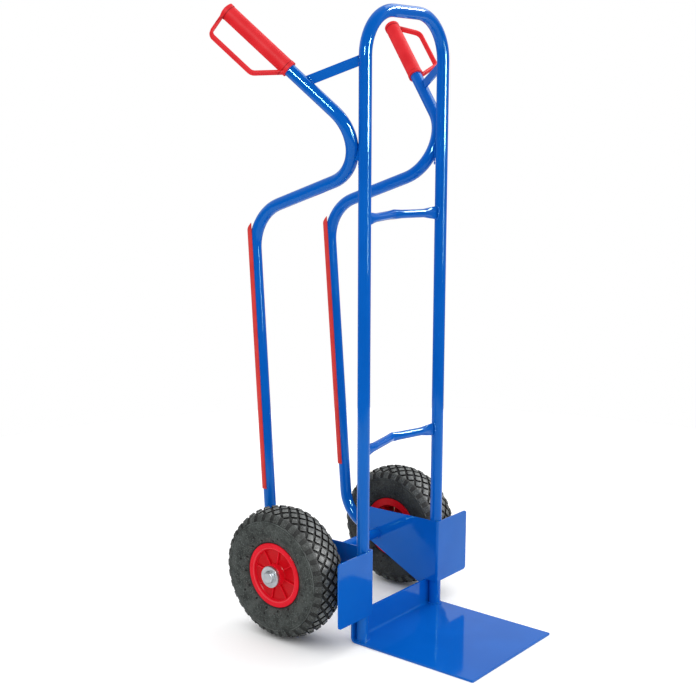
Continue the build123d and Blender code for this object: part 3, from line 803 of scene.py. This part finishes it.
# Rims
def rim_outline():
    """Section (across, out) of the rim: seat and well, outer lip, dish, hub and the inner side."""
    lip_back = RIM_HALF - LIP_THICKNESS
    lip_centre = (RIM_HALF - LIP_ROUND, RIM_RADIUS - LIP_ROUND)
    seat = [(WELL_EDGE, WELL_RADIUS), (SEAT_EDGE, SEAT_RADIUS), (lip_back, SEAT_RADIUS)]
    lip = [(lip_back, RIM_RADIUS - LIP_DROP)]
    lip += arc(lip_centre, LIP_ROUND, LIP_ROUND_START, 0, count=5)
    lip += [(RIM_HALF + across, LIP_INSIDE + out) for across, out in LIP_FILLET]
    dish = [(DISH_FACE + across, DISH_RADIUS + out) for across, out in DISH_FILLET]
    dish += [(DISH_FACE, HUB_RADIUS + HUB_FILLET), (DISH_FACE + HUB_FILLET, HUB_RADIUS)]
    hub = [(HUB_HALF - RIM_EASE, HUB_RADIUS), (HUB_HALF, HUB_RADIUS - RIM_EASE)]
    hub += [(HUB_HALF, HUB_BORE), (-HUB_HALF, HUB_BORE), (-HUB_HALF, HUB_RADIUS)]
    back = [(DISH_BACK, HUB_RADIUS), (DISH_BACK, WELL_RADIUS - RIM_WALL)]
    back += [(-WELL_EDGE, WELL_RADIUS - RIM_WALL), (-SEAT_EDGE, SEAT_RADIUS - RIM_WALL)]
    back += [(-lip_back, SEAT_RADIUS - RIM_WALL), (-RIM_HALF, SEAT_RADIUS - LIP_THICKNESS)]
    back += [(-RIM_HALF, RIM_RADIUS - RIM_EASE), (-RIM_HALF + RIM_EASE, RIM_RADIUS)]
    back += [(-lip_back, RIM_RADIUS - LIP_DROP), (-lip_back, SEAT_RADIUS)]
    back += [(-SEAT_EDGE, SEAT_RADIUS), (-WELL_EDGE, WELL_RADIUS)]
    return seat + lip + dish + hub + back + seat[:1]


def make_rib(centre, way, first, last, end):
    """A thin rib from the hub out to its end, and from one place across to another."""
    start_clean()
    place = centre + Vector((way * (first + last) / 2, 0, (RIB_ROOT + end) / 2))
    size = (last - first, RIB_THICKNESS, end - RIB_ROOT)
    bpy.ops.mesh.primitive_cube_add(size=1, location=place, scale=size)
    rib = bpy.context.object
    bpy.ops.object.transform_apply(location=True, rotation=True, scale=True)
    apply_modifier(rib, "BEVEL", width=RIB_EDGE, segments=2)
    return rib


def make_rim(side):
    """Plastic wheel centre: spun section with thin ribs on both faces."""
    centre = axle_point(side)
    way = SIDES[side]
    body = draw_section(f"{side}_rim_body", on_wheel(centre, rim_outline(), way))
    turn_section(body, centre, RIM_STEPS)
    front = make_rib(centre, way, DISH_FACE - RIB_SINK, FRONT_RIB_TOP, FRONT_RIB_END)
    rear = make_rib(centre, way, -REAR_RIB_TOP, DISH_BACK + RIB_SINK, REAR_RIB_END)
    ribs = join(f"{side}_rim_ribs", [front, rear])
    turn_piece(ribs, RIB_TURN, centre)
    copy_round(ribs, centre, RIBS)
    rim = join(f"{side}_ribbed_rim", [body, ribs])
    dress(rim, RIM_RED)
    settle(rim, f"{side}_wheel", smooth_below=40)
    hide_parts(f"{side}_rim")


# Strips on the skid legs
def make_strip(side):
    """A C-shaped plastic strip over the back of the skid leg, mitred at the top."""
    upward = (SKID_TOP - SKID_FOOT).normalized()
    sideways = Vector((1, 0, 0))
    rearward = upward.cross(sideways).normalized()
    start = SKID_FOOT + upward * ((STRIP_BOTTOM - SKID_FOOT.z) / upward.z)
    length = (STRIP_TOP - STRIP_BOTTOM) / upward.z
    section = []
    for radius, wrap in ((STRIP_OUTSIDE, STRIP_WRAP), (STRIP_INSIDE, -STRIP_WRAP)):
        section += ring_points(start, rearward * radius, sideways * radius, -wrap, wrap, STRIP_POINTS)
    rise, spine, corner, slope, chamfer = mirrored([
        upward * (length + 2 * STRIP_OUTSIDE),
        start + upward * length + rearward * STRIP_OUTSIDE,
        start + rearward * (STRIP_OUTSIDE - STRIP_CORNER),
        upward + rearward * STRIP_MITRE,
        rearward - upward], side)
    strip = draw_section(f"{side}_skid_cover", mirrored(section, side))
    pull_out_section(rise)
    cut_away(strip, spine, slope)
    cut_away(strip, corner, chamfer)
    apply_modifier(
        strip, "BEVEL", width=STRIP_EDGE, segments=2, limit_method="ANGLE", angle_limit=STRIP_SHARP)
    dress(strip, STRIP_RED)
    settle(strip, "frame", smooth_below=40)
    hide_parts(f"{side}_skid_strip")


# Welds, each given for the left side
def weld_bead(side, place, points, leg, melt=BEAD_MELT):
    """A run of overlapping weld drops, melted into one bead under the paint."""
    drops = []
    for index, point in enumerate(mirrored(points, side)):
        start_clean()
        size = leg * sum((share * math.sin(index * step + shift) for share, step, shift in DROP_WAVES), 1)
        bpy.ops.mesh.primitive_ico_sphere_add(subdivisions=2, radius=size, location=point)
        drops.append(bpy.context.object)
    bead = join(f"{side}_{place}_weld", drops)
    apply_modifier(bead, "REMESH", mode="VOXEL", voxel_size=leg / VOXELS_IN_LEG)
    apply_modifier(bead, "SMOOTH", factor=0.5, iterations=melt)
    dress(bead, BLUE)
    settle(bead, "frame", smooth_below=60)


def foot_weld(side):
    """Round the front of the upright's foot on the toe plate."""
    centre = Vector((UPRIGHT_OUT, 0, TOE_TOP + WELD_OFF["foot"]))
    reach = TUBE_RADIUS + WELD_OFF["foot"]
    forward = Vector((0, -reach, 0))
    outward = Vector((reach, 0, 0))
    points = ring_points(centre, forward, outward, -FOOT_WELD_WRAP, FOOT_WELD_WRAP, WELD_DROPS["foot"])
    weld_bead(side, "foot", points, WELD_LEG["foot"])


def rung_weld(side, place):
    """Round the pinched end of a rung."""
    points = []
    for index in range(WELD_DROPS["rung"]):
        angle = 2 * math.pi * index / WELD_DROPS["rung"]
        back = RUNG_END_HALF * math.cos(angle)
        reach = math.sqrt((TUBE_RADIUS + WELD_OFF["rung"]) ** 2 - back**2)
        height = RUNG_HEIGHTS[place] + RUNG_END_HEIGHT * math.sin(angle)
        points.append(Vector((UPRIGHT_OUT - reach, back, height)))
    weld_bead(side, f"{place}_rung", points, WELD_LEG["rung"], RUNG_BEAD_MELT)


def brace_weld(side):
    """Down both faces of the brace at each of its ends."""
    run = (BRACE_END - BRACE_START).normalized()
    sideways = run.cross(Vector((0, 0, 1))).normalized()
    half = sideways.cross(run) * BRACE_WELD_HALF
    handle_reach = TUBE_RADIUS / run.cross(HANDLE_DIRECTION).length
    edges = {
        "upright": BRACE_START + run * (TUBE_RADIUS + WELD_OFF["upright"]),
        "handle": BRACE_END - run * (handle_reach + WELD_OFF["handle"]),
    }
    for end, edge in edges.items():
        points = []
        for face in (-BRACE_FACE, BRACE_FACE):
            middle = edge + sideways * face
            points += line_points(middle - half, middle + half, WELD_DROPS["brace"])
        weld_bead(side, f"brace_{end}", points, WELD_LEG["brace"])


def web_weld(side):
    """Down both faces of the web between the handle bend and the upright."""
    half = Vector((0, 0, WEB_WELD_HALF))
    points = []
    for face in (-WEB_FACE, WEB_FACE):
        middle = WEB_MIDDLE + Vector((face, 0, 0))
        points += line_points(middle - half, middle + half, WELD_DROPS["web"])
    weld_bead(side, "web", points, WELD_LEG["web"])


def axle_weld(side):
    """Round the axle on the inner face of the cheek."""
    centre = Vector((CHEEK_INSIDE, AXLE_BACK, AXLE_HEIGHT))
    reach = AXLE_RADIUS + WELD_OFF["axle"]
    rearward = Vector((0, reach, 0))
    upward = Vector((0, 0, reach))
    points = ring_points(centre, rearward, upward, 0, 2 * math.pi, WELD_DROPS["axle"] + 1)
    weld_bead(side, "axle", points[:-1], WELD_LEG["axle"])


def cheek_weld(side):
    """Over the top of the fold where it goes round the upright."""
    centre = Vector((UPRIGHT_OUT, 0, CHEEK_TOP - CHEEK_WELD_SINK))
    reach = TUBE_RADIUS + WELD_OFF["cheek"]
    forward = Vector((0, -reach, 0))
    inward = Vector((-reach, 0, 0))
    points = ring_points(centre, forward, inward, 0, CHEEK_WELD_WRAP, WELD_DROPS["cheek"])
    weld_bead(side, "cheek", points, WELD_LEG["cheek"])


# All pieces, left and right
for side in SIDES:
    make_tyre(side)
for side in SIDES:
    make_rim(side)
for side in SIDES:
    make_strip(side)
    foot_weld(side)
    for place in RUNG_HEIGHTS:
        rung_weld(side, place)
    brace_weld(side)
    web_weld(side)
    axle_weld(side)
    cheek_weld(side)


# Studio
def add_softbox(name, place, wide, high, power, aim):
    """A wide soft lamp that faces a place on the truck."""
    lamp = bpy.data.lights.new(name, "AREA")
    lamp.shape = "RECTANGLE"
    lamp.size = wide
    lamp.size_y = high
    lamp.energy = power
    holder = bpy.data.objects.new(name, lamp)
    holder.location = place
    holder.rotation_euler = (Vector(aim) - Vector(place)).to_track_quat("-Z", "Y").to_euler()
    bpy.context.scene.collection.objects.link(holder)
    return holder


def ray_kind(tree, *kinds):
    """1 for rays of the kinds named, such as those straight from the camera."""
    rays = tree.nodes.new("ShaderNodeLightPath").outputs
    found = sum(Wire(tree, rays[kind]) for kind in kinds)
    return found.maths("MINIMUM", found, 1.0)


def light_room():
    """A white room whose backdrop is darker overhead, low down and on the near side for gloss."""
    world = bpy.data.worlds.new("white_room")
    world.use_nodes = True
    bpy.context.scene.world = world
    tree = world.node_tree
    way = Wire(tree, tree.nodes.new("ShaderNodeTexCoord").outputs["Generated"])
    _, _, high = axes(way)
    facing = way.node(
        "ShaderNodeVectorMath", {"operation": "DOT_PRODUCT"}, {0: way, 1: BACKDROP_WAY}, "Value")
    backdrop = above(facing, *BACKDROP_FADE) * (1 - CEILING_LOSS * above(high, *CEILING_FADE))
    backdrop = backdrop * (1 - HORIZON_LOSS * below(high, *HORIZON_FADE))
    gloss = ray_kind(tree, "Is Glossy Ray")
    seen = ray_kind(tree, "Is Camera Ray", "Is Transmission Ray")
    shown = seen + gloss * (DARK_SIDE + (1 - DARK_SIDE) * backdrop)
    sky = tree.nodes["Background"]
    sky.inputs["Color"].default_value = rgb(1, 1, 1)
    plug(tree, sky.inputs["Strength"], shown + ROOM_LIGHT * (1 - seen) * (1 - gloss))


def lay_floor():
    """A pale floor that keeps the truck's shadow and turns white away from it; its glow dims where the truck is
    near, a painted shadow.
    """
    start_clean()
    bpy.ops.mesh.primitive_circle_add(
        vertices=FLOOR_SIDES, radius=FLOOR_RADIUS, fill_type="NGON", location=(0, 0, 0))
    floor = bpy.context.object
    floor.name = "studio_floor"
    bpy.ops.object.transform_apply(location=True, rotation=True, scale=True)
    finish, shader, where = new_finish("pale_floor")
    openness = where.node("ShaderNodeAmbientOcclusion", {"samples": 16}, {"Distance": SHADOW_REACH}, "AO")
    black = rgb(0, 0, 0)
    # Painted shadow: the glow seen by the camera dims where ambient occlusion finds the truck near
    glow = mix(above(openness, *SHADOW_FADE), black, rgb(FLOOR_GLOW, FLOOR_GLOW, FLOOR_GLOW))
    set_shader(where, shader, {
        "Base Color": rgb(*FLOOR_PAINT),
        "Roughness": 0.8,
        "Specular IOR Level": 0.0,
        "Emission Color": mix(ray_kind(where.tree, *SEEN_RAYS), black, glow),
        "Emission Strength": 1.0,
    })
    dress(floor, finish)


def set_camera():
    """A camera that stands off the place it looks at, looking down a little and rolled a trace."""
    heading = Euler((math.pi / 2 - LOOK_DOWN, 0, -HEADING)).to_matrix()
    turn = heading @ Matrix.Rotation(ROLL, 3, "Z")
    lens = bpy.data.cameras.new("camera")
    lens.lens = LENS
    lens.sensor_width = SENSOR
    camera = bpy.data.objects.new("camera", lens)
    camera.matrix_world = Matrix.Translation(LOOK_AT + turn @ Vector((0, 0, STAND_OFF))) @ turn.to_4x4()
    bpy.context.scene.collection.objects.link(camera)
    bpy.context.scene.camera = camera


lay_floor()
light_room()
add_softbox(*ROOF_LAMP, ROOF_AIM)
for lamp_row in GLOSS_LAMPS:
    gloss_lamp = add_softbox(*lamp_row, GLOSS_AIM)
    gloss_lamp.visible_diffuse = False
    gloss_lamp.visible_camera = False
set_camera()
bpy.context.scene.view_settings.view_transform = "Standard"
